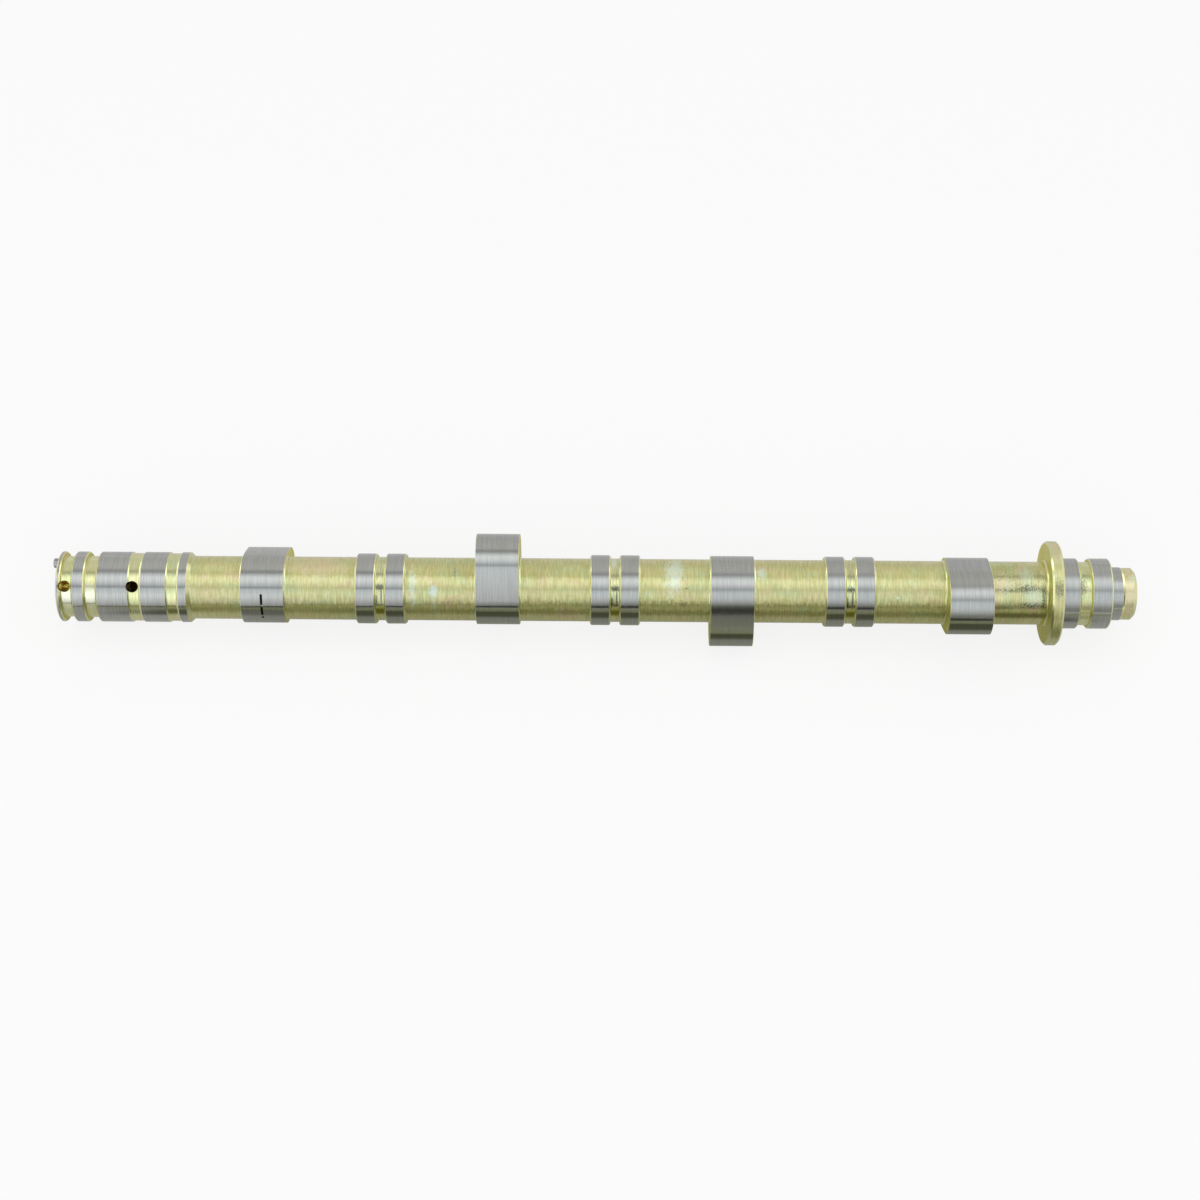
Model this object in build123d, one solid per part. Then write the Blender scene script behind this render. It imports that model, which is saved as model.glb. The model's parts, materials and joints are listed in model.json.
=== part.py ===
from build123d import *
import math
import os

# A four-lobe camshaft turned from bar, and the dowel pin that times its drive gear.
# Lengths are millimetres and angles degrees. The axis is X, and x = 0 is the drive-end face.
# An angle about the axis is counted from +Y towards +Z, and +Z is up with the shaft lying at rest.

# Bearing journals
bearing_pitch = 94.0  # from one bearing to the next
first_bearing_x = 35.5  # middle of the bearing at the drive end
bearings = 5
journal_radius = 14.15
journal_width = 20.0
journal_groove_width = 3.7  # at the floor of the oil groove
journal_groove_depth = 1.3
ring_edge = 0.5  # chamfer along the edges of every ground ring

# Plain shaft between the journals and the lobes
shaft_relief = 1.45  # how far the shaft lies below the journals
root_bevel = 0.8  # cone where the shaft meets a lobe or the thrust flange
collar_rise = 0.1  # how far the collar inside each lobe stands above that cone

# Drive end: ground lands with oil grooves between them
rim_width = 1.9
face_groove_width = 4.25
face_groove_depth = 1.9
seal_land_width = 5.25
feed_groove_width = 4.5
feed_groove_depth = 1.75
gear_land_width = 13.45
advance_groove_width = 4.1
middle_land_width = 11.0
drain_groove_width = 4.0
shallow_groove_depth = 0.45
inner_land_width = 5.2
inner_land_slope = 1.5  # long chamfer that runs down to the shaft

# Cam lobes: base circle, two flank arcs and a nose arc
lobe_relief = 0.05  # how far the base circle lies below the journals
lobe_lift = 9.0
nose_radius = 12.8
flank_radius = 90.0
lobe_width = 17.4
lobe_edge = 0.3
first_lobe_angle = -42.0
firing_order = [1, 3, 4, 2]

# Thrust flange and the rear journal behind it
flange_radius = 21.0
flange_width = 5.0
flange_edge = 0.8
flange_face_from_bearing = 10.2  # flange's rear face to the middle of the last bearing
rear_ring_width = 7.8
rear_groove_width = 4.25
rear_groove_depth = 1.35
rear_land_width = 8.4
sensor_ring_radius = 10.7
sensor_ring_width = 4.25
sensor_ring_slope = 0.8  # shallow ramp from the sensor ring down to the stub
stub_relief = 0.25
stub_length = 6.0
stub_edge = 1.3

# Gear bolt bore, its thread and the oil gallery, all on the axis
bolt_bore_radius = 6.2
bolt_bore_depth = 34.0
bore_countersink = 0.8
thread_radius = 5.35  # core of the M12 x 1.25 thread
thread_length = 26.0
gallery_radius = 4.0
gallery_wall_at_end = 16.0  # solid metal left between the gallery and the rear end
drill_tip_angle = 118.0

# Centre drilling in the rear end
centre_mouth_radius = 3.0
centre_pilot_radius = 1.25
centre_pilot_depth = 5.5
centre_cone_angle = 60.0

# Oil holes across the shaft
cross_hole_radius = 2.3
cross_hole_angle = 116.0
cross_hole_offset = 0.65  # ahead of the middle of its groove
cross_hole_countersink = 0.3
face_hole_depth = 3.65
face_passage_radius = 1.8
face_passage_pitch_radius = 9.2
journal_hole_radius = 1.5
journal_hole_angle = 26.0

# Dowel pin in the drive-end face
dowel_radius = 2.0
dowel_pitch_radius = 9.3
dowel_angle = 26.0
dowel_seat_depth = 6.4
dowel_proud = 3.6
dowel_edge = 0.4

# Sizes that follow from the ones above
shaft_radius = journal_radius - shaft_relief
base_radius = journal_radius - lobe_relief
lobes = bearings - 1
last_bearing_x = first_bearing_x + (bearings - 1) * bearing_pitch
flange_rear_x = last_bearing_x - flange_face_from_bearing
journal_ring_width = (journal_width - journal_groove_width) / 2
lobe_collar_radius = shaft_radius + root_bevel + collar_rise


def bearing_x(number):
    """Middle of a bearing, counted from 1 at the drive end."""
    return first_bearing_x + (number - 1) * bearing_pitch


def lobe_x(number):
    """Middle of a lobe, which stands half way between two bearings."""
    return bearing_x(number) + bearing_pitch / 2


def lobe_angle(number):
    """Where a lobe's nose points. The noses follow each other in firing order."""
    return first_lobe_angle - firing_order.index(number) * 360 / lobes


# Turned outline. A step is (x where it ends, radius, chamfer length on its edges).


def drive_end_steps():
    lands = [rim_width, seal_land_width, gear_land_width, middle_land_width]
    grooves = [
        (face_groove_width, face_groove_depth),
        (feed_groove_width, feed_groove_depth),
        (advance_groove_width, shallow_groove_depth),
        (drain_groove_width, shallow_groove_depth),
    ]
    steps = []
    x = 0.0
    for land, (groove, depth) in zip(lands, grooves):
        x += land
        steps.append((x, journal_radius, ring_edge))
        x += groove
        steps.append((x, journal_radius - depth, 0.0))
    steps.append((x + inner_land_width, journal_radius, inner_land_slope))
    return steps


def groove_middle(steps, number):
    """Middle of a drive-end groove, counted from 1 at the face."""
    end = 2 * number - 1
    return (steps[end - 1][0] + steps[end][0]) / 2


def lobe_steps(number):
    """The shaft up to a lobe, then the collar that fills the lobe's middle."""
    start = lobe_x(number) - lobe_width / 2
    return [(start, shaft_radius, 0.0), (start + lobe_width, lobe_collar_radius, 0.0)]


def journal_steps(number):
    """The shaft up to a journal, then its two ground rings and the groove between them."""
    start = bearing_x(number) - journal_width / 2
    groove_start = start + journal_ring_width
    groove_end = groove_start + journal_groove_width
    return [
        (start, shaft_radius, 0.0),
        (groove_start, journal_radius, ring_edge),
        (groove_end, journal_radius - journal_groove_depth, 0.0),
        (start + journal_width, journal_radius, ring_edge),
    ]


def rear_steps():
    """The thrust flange, the grooved rear journal, the sensor ring and the stub."""
    ring_end = flange_rear_x + rear_ring_width
    groove_end = ring_end + rear_groove_width
    land_end = groove_end + rear_land_width
    sensor_end = land_end + sensor_ring_width
    return [
        (flange_rear_x - flange_width, shaft_radius, 0.0),
        (flange_rear_x, flange_radius, flange_edge),
        (ring_end, journal_radius, ring_edge),
        (groove_end, journal_radius - rear_groove_depth, 0.0),
        (land_end, journal_radius, ring_edge),
        (sensor_end, sensor_ring_radius, sensor_ring_slope),
        (sensor_end + stub_length, sensor_ring_radius - stub_relief, stub_edge),
    ]


def all_steps():
    steps = drive_end_steps() + lobe_steps(1)
    for number in range(2, bearings):
        steps += journal_steps(number) + lobe_steps(number)
    return steps + rear_steps()


def shoulder(x, left, right):
    """Points of the shoulder at x between two steps. The higher side is chamfered."""
    low, high = sorted([left[1], right[1]])
    edge = left[2] if left[1] > right[1] else right[2]
    drop = min(edge, high - low)
    points = [(x - edge, high), (x, high - drop), (x, low)]
    if left[1] < right[1]:
        points = [(x, low), (x, high - drop), (x + edge, high)]
    return [p for i, p in enumerate(points) if i == 0 or math.dist(p, points[i - 1]) > 1e-6]


def outer_points(steps):
    """The outline of everything that is turned, from the drive-end face to the rear end."""
    first, last = steps[0], steps[-1]
    points = [(0.0, first[1] - first[2]), (first[2], first[1])]
    for left, right in zip(steps, steps[1:]):
        points += shoulder(left[0], left, right)
    points += [(last[0] - last[2], last[1]), (last[0], last[1] - last[2])]
    return points


def cone_length(radius, full_angle):
    return radius / math.tan(math.radians(full_angle / 2))


def centre_drill_points(end):
    """The centre drilling, from its mouth in the rear end to its tip on the axis."""
    cone = cone_length(centre_mouth_radius - centre_pilot_radius, centre_cone_angle)
    tip = cone_length(centre_pilot_radius, drill_tip_angle)
    return [
        (end, centre_mouth_radius),
        (end - cone, centre_pilot_radius),
        (end - centre_pilot_depth, centre_pilot_radius),
        (end - centre_pilot_depth - tip, 0.0),
    ]


def bore_points(end):
    """The gallery, thread and bolt bore, from the gallery's tip to the drive-end face."""
    gallery_end = end - gallery_wall_at_end
    thread_start = bolt_bore_depth + cone_length(bolt_bore_radius - thread_radius, drill_tip_angle)
    thread_end = bolt_bore_depth + thread_length
    taper_end = thread_end + cone_length(thread_radius - gallery_radius, drill_tip_angle)
    return [
        (gallery_end + cone_length(gallery_radius, drill_tip_angle), 0.0),
        (gallery_end, gallery_radius),
        (taper_end, gallery_radius),
        (thread_end, thread_radius),
        (thread_start, thread_radius),
        (bolt_bore_depth, bolt_bore_radius),
        (bore_countersink, bolt_bore_radius),
        (0.0, bolt_bore_radius + bore_countersink),
    ]


def vertices_at(profile, xs, radius):
    """The corners of the profile that lie at one radius and at any of the places xs."""

    def fits(vertex):
        near = min(abs(vertex.X - x) for x in xs)
        return near < 1e-4 and abs(vertex.Y - radius) < 1e-4

    return profile.vertices().filter_by(fits)


def turned_body(steps):
    """Everything that is round about the axis, revolved from one half section."""
    end = steps[-1][0]
    points = outer_points(steps) + centre_drill_points(end) + bore_points(end)
    profile = make_face(Polyline(*points, close=True))
    roots = [flange_rear_x - flange_width]
    for number in range(1, lobes + 1):
        roots += [lobe_x(number) - lobe_width / 2, lobe_x(number) + lobe_width / 2]
    profile = chamfer(vertices_at(profile, roots, shaft_radius), root_bevel)
    return revolve(profile, Axis.X)


# Cam lobes


def lobe_outline():
    """A three-arc cam with its nose along the first axis of the sketch."""
    nose_centre = base_radius + lobe_lift - nose_radius
    from_base = flank_radius - base_radius
    from_nose = flank_radius - nose_radius
    flank_x = (from_base**2 - from_nose**2 + nose_centre**2) / (2 * nose_centre)
    flank_centre = Vector(flank_x, -math.sqrt(from_base**2 - flank_x**2))
    base_touch = flank_centre * (-base_radius / from_base)
    towards_nose = Vector(nose_centre, 0) - flank_centre
    nose_touch = flank_centre + towards_nose * (flank_radius / from_nose)
    middle = ((base_touch - flank_centre) + (nose_touch - flank_centre)).normalized()
    flank = ThreePointArc(base_touch, flank_centre + middle * flank_radius, nose_touch)
    nose_tip = (base_radius + lobe_lift, 0)
    nose = ThreePointArc(nose_touch, nose_tip, (nose_touch.X, -nose_touch.Y))
    heel = ThreePointArc((base_touch.X, -base_touch.Y), (-base_radius, 0), base_touch)
    return make_face(flank + nose + mirror(flank, Plane.XZ) + heel)


def lobe(number):
    """One lobe in its place, with its edges broken all round."""
    start = Plane.YZ.offset(lobe_x(number) - lobe_width / 2)
    body = extrude(start * Rot(0, 0, lobe_angle(number)) * lobe_outline(), lobe_width)
    faces = body.faces().sort_by(Axis.X)
    return chamfer(faces[0].edges() + faces[-1].edges(), lobe_edge)


# Drilling


def across(x, angle):
    """A plane on the axis at x whose normal points out of the shaft at the angle."""
    turn = math.radians(angle)
    return Plane(origin=(x, 0, 0), x_dir=(1, 0, 0), z_dir=(0, math.cos(turn), math.sin(turn)))


def cross_drill(x, angle, radius, bottom):
    """A drill that comes in from outside and stops with its shoulder at the radius bottom."""
    tip = cone_length(radius, drill_tip_angle)
    reach = journal_radius + ring_edge - bottom
    shank = Pos(0, 0, bottom) * Cylinder(radius, reach, align=(Align.CENTER, Align.CENTER, Align.MIN))
    point = Pos(0, 0, bottom) * Cone(0, radius, tip, align=(Align.CENTER, Align.CENTER, Align.MAX))
    return across(x, angle) * (shank + point)


def countersink(x, angle, radius, floor):
    """A small bevel round the mouth of a cross hole that opens in a groove's floor."""
    depth = 3 * cross_hole_countersink
    bottom = floor - cross_hole_countersink
    bevel = Cone(radius, radius + depth, depth, align=(Align.CENTER, Align.CENTER, Align.MIN))
    return across(x, angle) * Pos(0, 0, bottom) * bevel


def end_drill(angle, pitch_radius, radius, depth):
    """A drill that goes into the drive-end face beside the axis."""
    turn = math.radians(angle)
    y, z = pitch_radius * math.cos(turn), pitch_radius * math.sin(turn)
    tool = Cylinder(radius, depth, align=(Align.CENTER, Align.CENTER, Align.MIN))
    return Plane(origin=(0, y, z), x_dir=(0, 1, 0), z_dir=(1, 0, 0)) * tool


def cross_holes(steps):
    """The two cam-phaser oil holes at the drive end, and the passage out of the face."""
    face_hole_x = groove_middle(steps, 1) - cross_hole_offset
    advance_hole_x = groove_middle(steps, 3) - cross_hole_offset
    face_floor = journal_radius - face_groove_depth
    advance_floor = journal_radius - shallow_groove_depth
    face_bottom = face_floor - face_hole_depth
    passage_depth = face_hole_x + cross_hole_radius
    return [
        cross_drill(face_hole_x, cross_hole_angle, cross_hole_radius, face_bottom),
        end_drill(cross_hole_angle, face_passage_pitch_radius, face_passage_radius, passage_depth),
        cross_drill(advance_hole_x, cross_hole_angle, cross_hole_radius, gallery_radius),
        countersink(advance_hole_x, cross_hole_angle, cross_hole_radius, advance_floor),
    ]


def journal_holes(steps):
    """One small oil hole from each journal groove into the bore on the axis."""
    rear_groove_x = flange_rear_x + rear_ring_width + rear_groove_width / 2
    places = [groove_middle(steps, 2), rear_groove_x]
    places += [bearing_x(number) for number in range(2, bearings)]
    bottom = gallery_radius / 2
    return [cross_drill(x, journal_hole_angle, journal_hole_radius, bottom) for x in places]


def camshaft():
    steps = all_steps()
    body = turned_body(steps)
    for number in range(1, lobes + 1):
        body += lobe(number)
    dowel_seat = end_drill(dowel_angle, dowel_pitch_radius, dowel_radius, dowel_seat_depth)
    for tool in cross_holes(steps) + journal_holes(steps) + [dowel_seat]:
        body -= tool
    return body


def dowel_pin():
    """The pin seated in the drive-end face, with both its ends chamfered."""
    pin = end_drill(dowel_angle, dowel_pitch_radius, dowel_radius, dowel_seat_depth + dowel_proud)
    ends = pin.edges().filter_by(GeomType.CIRCLE)
    return Pos(-dowel_proud, 0, 0) * chamfer(ends, dowel_edge)


os.makedirs("parts", exist_ok=True)
export_step(camshaft(), "parts/camshaft.step")
export_step(dowel_pin(), "parts/dowel_pin.step")
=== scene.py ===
import json
import math

import bmesh
import bpy
from mathutils import Matrix, Vector

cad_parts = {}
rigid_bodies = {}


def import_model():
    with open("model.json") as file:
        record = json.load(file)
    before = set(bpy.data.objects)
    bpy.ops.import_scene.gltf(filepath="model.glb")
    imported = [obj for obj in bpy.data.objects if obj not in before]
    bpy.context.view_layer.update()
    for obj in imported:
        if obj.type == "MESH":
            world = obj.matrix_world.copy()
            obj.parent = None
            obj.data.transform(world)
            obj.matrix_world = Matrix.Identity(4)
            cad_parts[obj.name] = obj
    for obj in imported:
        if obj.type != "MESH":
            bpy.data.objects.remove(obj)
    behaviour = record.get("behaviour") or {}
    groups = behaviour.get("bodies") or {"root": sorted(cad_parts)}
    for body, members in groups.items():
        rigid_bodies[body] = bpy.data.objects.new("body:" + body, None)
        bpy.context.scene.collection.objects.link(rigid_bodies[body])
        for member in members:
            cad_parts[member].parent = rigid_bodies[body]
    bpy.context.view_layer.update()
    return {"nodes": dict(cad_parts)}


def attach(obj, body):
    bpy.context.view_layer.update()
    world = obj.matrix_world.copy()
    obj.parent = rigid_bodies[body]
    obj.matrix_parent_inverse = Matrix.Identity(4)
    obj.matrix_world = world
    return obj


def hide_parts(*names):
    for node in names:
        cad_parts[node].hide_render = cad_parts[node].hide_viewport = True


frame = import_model()
print("frame loaded:", ", ".join(sorted(frame["nodes"])))

mm = 0.001
tiny = 1e-6
shaftAxis = Vector((1, 0, 0))

# how far a face's normal leans along the shaft
sideFacing = 0.05  # less than this on a cylinder about the shaft
shoulderFacing = 0.5  # more than this where the tool moved in and out
flatShoulder = 0.93  # more than this on a flat shoulder


# Angles about the shaft are in degrees, counted from +Y towards +Z.
def outward(angle):
    turn = math.radians(angle)
    return Vector((0, math.cos(turn), math.sin(turn)))


def addNode(tree, kind, **settings):
    made = tree.nodes.new(kind)
    for key, value in settings.items():
        setattr(made, key, value)
    return made


def feed(tree, socket, value):
    if isinstance(value, bpy.types.NodeSocket):
        tree.links.new(value, socket)
    elif value is not None:
        socket.default_value = value


def calc(tree, operation, first, second=None, clamp=False):
    made = addNode(tree, "ShaderNodeMath", operation=operation, use_clamp=clamp)
    feed(tree, made.inputs[0], first)
    feed(tree, made.inputs[1], second)
    return made.outputs[0]


def calcVector(tree, operation, first, second=None, scale=None):
    made = addNode(tree, "ShaderNodeVectorMath", operation=operation)
    feed(tree, made.inputs[0], first)
    feed(tree, made.inputs[1], second)
    if scale is not None:
        feed(tree, made.inputs["Scale"], scale)
    return made.outputs["Value" if operation in ("LENGTH", "DOT_PRODUCT") else "Vector"]


def combine(tree, x, y, z):
    made = addNode(tree, "ShaderNodeCombineXYZ")
    for socket, value in zip(made.inputs, (x, y, z)):
        feed(tree, socket, value)
    return made.outputs[0]


def separate(tree, vector):
    made = addNode(tree, "ShaderNodeSeparateXYZ")
    feed(tree, made.inputs[0], vector)
    return made.outputs


def noise(tree, vector, detail=2.0, roughness=0.5):
    made = addNode(tree, "ShaderNodeTexNoise")
    feed(tree, made.inputs["Vector"], vector)
    made.inputs["Scale"].default_value = 1.0
    made.inputs["Detail"].default_value = detail
    made.inputs["Roughness"].default_value = roughness
    return made.outputs["Fac"]


def fade(tree, value, start, end, first=0.0, last=1.0, smooth=True):
    made = addNode(tree, "ShaderNodeMapRange", interpolation_type="SMOOTHSTEP" if smooth else "LINEAR")
    settings = {"Value": value, "From Min": start, "From Max": end, "To Min": first, "To Max": last}
    for name, item in settings.items():
        feed(tree, made.inputs[name], item)
    return made.outputs["Result"]


def mixColour(tree, amount, first, second, blend="MIX"):
    made = addNode(tree, "ShaderNodeMix", data_type="RGBA", blend_type=blend)
    sockets = [s for s in made.inputs if s.type == "RGBA"]
    feed(tree, made.inputs["Factor"], amount)
    feed(tree, sockets[0], first)
    feed(tree, sockets[1], second)
    return next(s for s in made.outputs if s.type == "RGBA")


def mixValue(tree, amount, first, second):
    made = addNode(tree, "ShaderNodeMix", data_type="FLOAT")
    for name, item in {"Factor": amount, "A": first, "B": second}.items():
        feed(tree, made.inputs[name], item)
    return made.outputs["Result"]


def newGroup(name, inputs, outputs):
    group = bpy.data.node_groups.new(name, "ShaderNodeTree")
    for label, kind, default in inputs:
        socket = group.interface.new_socket(label, in_out="INPUT", socket_type="NodeSocket" + kind)
        socket.default_value = default
    for label, kind in outputs:
        group.interface.new_socket(label, in_out="OUTPUT", socket_type="NodeSocket" + kind)
    given = addNode(group, "NodeGroupInput").outputs
    result = addNode(group, "NodeGroupOutput").inputs
    return group, given, result


def placeGroup(tree, group, values):
    made = addNode(tree, "ShaderNodeGroup", node_tree=group)
    for name, value in values.items():
        feed(tree, made.inputs[name], value)
    return made.outputs


def lathePlace(tree):
    # x along the shaft, the unit direction out of it, the radius, and the path a turning tool takes:
    # along the shaft on a cylinder, in and out on a shoulder
    x, y, z = separate(tree, addNode(tree, "ShaderNodeTexCoord").outputs["Object"])
    radius = calcVector(tree, "LENGTH", combine(tree, 0.0, y, z))
    facing = separate(tree, addNode(tree, "ShaderNodeNewGeometry").outputs["True Normal"])[0]
    shoulder = calc(tree, "GREATER_THAN", calc(tree, "ABSOLUTE", facing), shoulderFacing)
    feedPath = calc(tree, "ADD", x, calc(tree, "MULTIPLY", radius, shoulder))
    return x, calc(tree, "DIVIDE", y, radius), calc(tree, "DIVIDE", z, radius), radius, feedPath


# how fine each pattern's noise is
grains = {
    "lines": {"detail": 3.0, "roughness": 0.6},
    "broad": {"detail": 2.0},
    "clouds": {"detail": 4.0, "roughness": 0.6},
    "spots": {"detail": 4.0, "roughness": 0.65},
    "film": {"detail": 4.0, "roughness": 0.55},
}

toolMarks = {
    "broadStretch": (0.13, 0.6, 0.6),
    "waveStretch": (1.0, 2.5, 2.5),
    "waveShift": (31.7, 0.0, 0.0),
}


def makeToolLines(look):
    # Fine lines round the shaft, from turning or grinding, and the small waves they leave
    inputs = [
        ("Line Width", "Float", 0.4 * mm),
        ("Around", "Float", 3.0),
        ("Wave", "Float", 0.02),
        ("Seed", "Float", 0.0),
    ]
    outputs = [("Lines", "Float"), ("Broad Lines", "Float"), ("Normal", "Vector")]
    tree, given, result = newGroup("toolLines", inputs, outputs)
    sideY, sideZ, radius, feedPath = lathePlace(tree)[1:]
    along = calc(tree, "ADD", calc(tree, "DIVIDE", feedPath, given["Line Width"]), given["Seed"])
    across = [calc(tree, "MULTIPLY", side, given["Around"]) for side in (sideY, sideZ)]
    lineSpace = combine(tree, along, *across)
    lines = noise(tree, lineSpace, **grains["lines"])
    broad = noise(tree, calcVector(tree, "MULTIPLY", lineSpace, look["broadStretch"]), **grains["broad"])
    normal = addNode(tree, "ShaderNodeNewGeometry").outputs["Normal"]
    roundWay = calcVector(tree, "NORMALIZE", calcVector(tree, "CROSS_PRODUCT", tuple(shaftAxis), normal))
    stretched = calcVector(tree, "MULTIPLY", lineSpace, look["waveStretch"])
    shifted = calcVector(tree, "ADD", stretched, look["waveShift"])
    wave = calc(tree, "SUBTRACT", noise(tree, shifted, **grains["lines"]), 0.5)
    push = calcVector(tree, "SCALE", roundWay, scale=calc(tree, "MULTIPLY", wave, given["Wave"]))
    feed(tree, result["Lines"], lines)
    feed(tree, result["Broad Lines"], broad)
    feed(tree, result["Normal"], calcVector(tree, "NORMALIZE", calcVector(tree, "ADD", normal, push)))
    return tree


def makePatches():
    # Soft cloudy patches, longer round the shaft or along it, used for plating tints
    inputs = [
        ("Length", "Float", 10 * mm),
        ("Height", "Float", 10 * mm),
        ("Seed", "Float", 0.0),
        ("Low", "Float", 0.45),
        ("High", "Float", 0.65),
    ]
    tree, given, result = newGroup("patches", inputs, [("Mask", "Float")])
    x, y, z = separate(tree, addNode(tree, "ShaderNodeTexCoord").outputs["Object"])
    along = calc(tree, "ADD", calc(tree, "DIVIDE", x, given["Length"]), given["Seed"])
    place = combine(tree, along, *(calc(tree, "DIVIDE", part, given["Height"]) for part in (y, z)))
    cloud = noise(tree, place, **grains["clouds"])
    feed(tree, result["Mask"], fade(tree, cloud, given["Low"], given["High"]))
    return tree


spotMarks = {
    "grainStretch": (1.6, 1.0, 1.0),
    "raggedReach": 2.0,
    "edge": 1.05,  # where the spot fades out, as a share of its half size
    "core": 0.3,
}


def makeRaggedSpot(look):
    # One ragged spot round a place on the surface
    inputs = [
        ("Centre", "Vector", (0, 0, 0)),
        ("Length", "Float", 4 * mm),
        ("Height", "Float", 4 * mm),
        ("Ragged", "Float", 0.6),
        ("Grain", "Float", 1.5 * mm),
    ]
    tree, given, result = newGroup("raggedSpot", inputs, [("Mask", "Float")])
    place = addNode(tree, "ShaderNodeTexCoord").outputs["Object"]
    x, y, z = separate(tree, calcVector(tree, "SUBTRACT", place, given["Centre"]))
    spans = (given["Length"], given["Height"], given["Height"])
    away = combine(tree, *(calc(tree, "DIVIDE", part, span) for part, span in zip((x, y, z), spans)))
    grain = calcVector(tree, "MULTIPLY", place, look["grainStretch"])
    grain = calcVector(tree, "DIVIDE", grain, combine(tree, given["Grain"], given["Grain"], given["Grain"]))
    rough = noise(tree, grain, **grains["spots"])
    ragged = calc(tree, "MULTIPLY", calc(tree, "SUBTRACT", rough, 0.5), given["Ragged"])
    ragged = calc(tree, "MULTIPLY", ragged, look["raggedReach"])
    reach = calc(tree, "ADD", calcVector(tree, "LENGTH", away), ragged)
    feed(tree, result["Mask"], fade(tree, reach, look["edge"], look["core"]))
    return tree


toolLines = makeToolLines(toolMarks)
patches = makePatches()
raggedSpot = makeRaggedSpot(spotMarks)
print("shared effects ready")


def newMaterial(name, shaderKind):
    material = bpy.data.materials.new(name)
    material.use_nodes = True
    tree = material.node_tree
    tree.nodes.clear()
    shader = addNode(tree, shaderKind)
    output = addNode(tree, "ShaderNodeOutputMaterial")
    tree.links.new(shader.outputs[0], output.inputs["Surface"])
    return material, tree, shader.inputs


def newFinish(name, metal=1.0):
    finish, tree, sockets = newMaterial(name, "ShaderNodeBsdfPrincipled")
    sockets["Metallic"].default_value = metal
    return finish, tree, sockets


quarterTurn = 0.25


def brushAlong(tree, sockets, amount):
    # Lines round the shaft spread a reflection along it
    tangent = addNode(tree, "ShaderNodeTangent", direction_type="UV_MAP", uv_map="turned")
    sockets["Anisotropic"].default_value = amount
    sockets["Anisotropic Rotation"].default_value = quarterTurn
    tree.links.new(tangent.outputs["Tangent"], sockets["Tangent"])


groundLook = {
    "colour": (0.545, 0.55, 0.545, 1),
    "lineColour": (0.47, 0.475, 0.475, 1),
    "roughness": 0.21,
    "lineRoughness": 0.24,
    "lineWidth": 0.42 * mm,
    "lineRange": (0.3, 0.7),
    "around": 1.2,
    "wave": 0.03,
    "seed": 4.0,
    "brushed": 0.95,
    # a plain etched mark on the first lobe: two dashes and a dot, each (middle, half length) in degrees
    "markX": 82.3 * mm,
    "markAngles": [(136.0, 9.0), (158.0, 9.0), (173.0, 2.2)],
    "markWidth": 0.9 * mm,
    "markSides": (0.62, 0.42),  # where its edge starts and ends to fade, as a share of its width
    "markEnds": (1.06, 0.94),
    "markColour": (0.02, 0.02, 0.02, 1),
    "markRoughness": 0.6,
}


def placeLines(tree, look, wave):
    values = {"Line Width": look["lineWidth"], "Around": look["around"], "Wave": wave, "Seed": look["seed"]}
    return placeGroup(tree, toolLines, values)


def etchedMark(tree, look):
    x, sideY, sideZ = lathePlace(tree)[:3]
    fromMark = calc(tree, "ABSOLUTE", calc(tree, "SUBTRACT", x, look["markX"]))
    nearX = fade(tree, fromMark, *(look["markWidth"] * share for share in look["markSides"]))
    mask = None
    for angle, halfLength in look["markAngles"]:
        facing = calcVector(tree, "DOT_PRODUCT", combine(tree, 0.0, sideY, sideZ), tuple(outward(angle)))
        reach = calc(tree, "ARCCOSINE", facing)
        part = fade(tree, reach, *(math.radians(halfLength) * share for share in look["markEnds"]))
        mask = part if mask is None else calc(tree, "MAXIMUM", mask, part)
    return calc(tree, "MULTIPLY", nearX, mask)


def groundSteel(look):
    finish, tree, sockets = newFinish("groundSteel")
    marks = placeLines(tree, look, look["wave"])
    lines = fade(tree, marks["Lines"], *look["lineRange"])
    colour = mixColour(tree, lines, look["lineColour"], look["colour"])
    mark = etchedMark(tree, look)
    feed(tree, sockets["Base Color"], mixColour(tree, mark, colour, look["markColour"]))
    shine = mixValue(tree, lines, look["lineRoughness"], look["roughness"])
    feed(tree, sockets["Roughness"], mixValue(tree, mark, shine, look["markRoughness"]))
    feed(tree, sockets["Normal"], marks["Normal"])
    brushAlong(tree, sockets, look["brushed"])
    return finish


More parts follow.
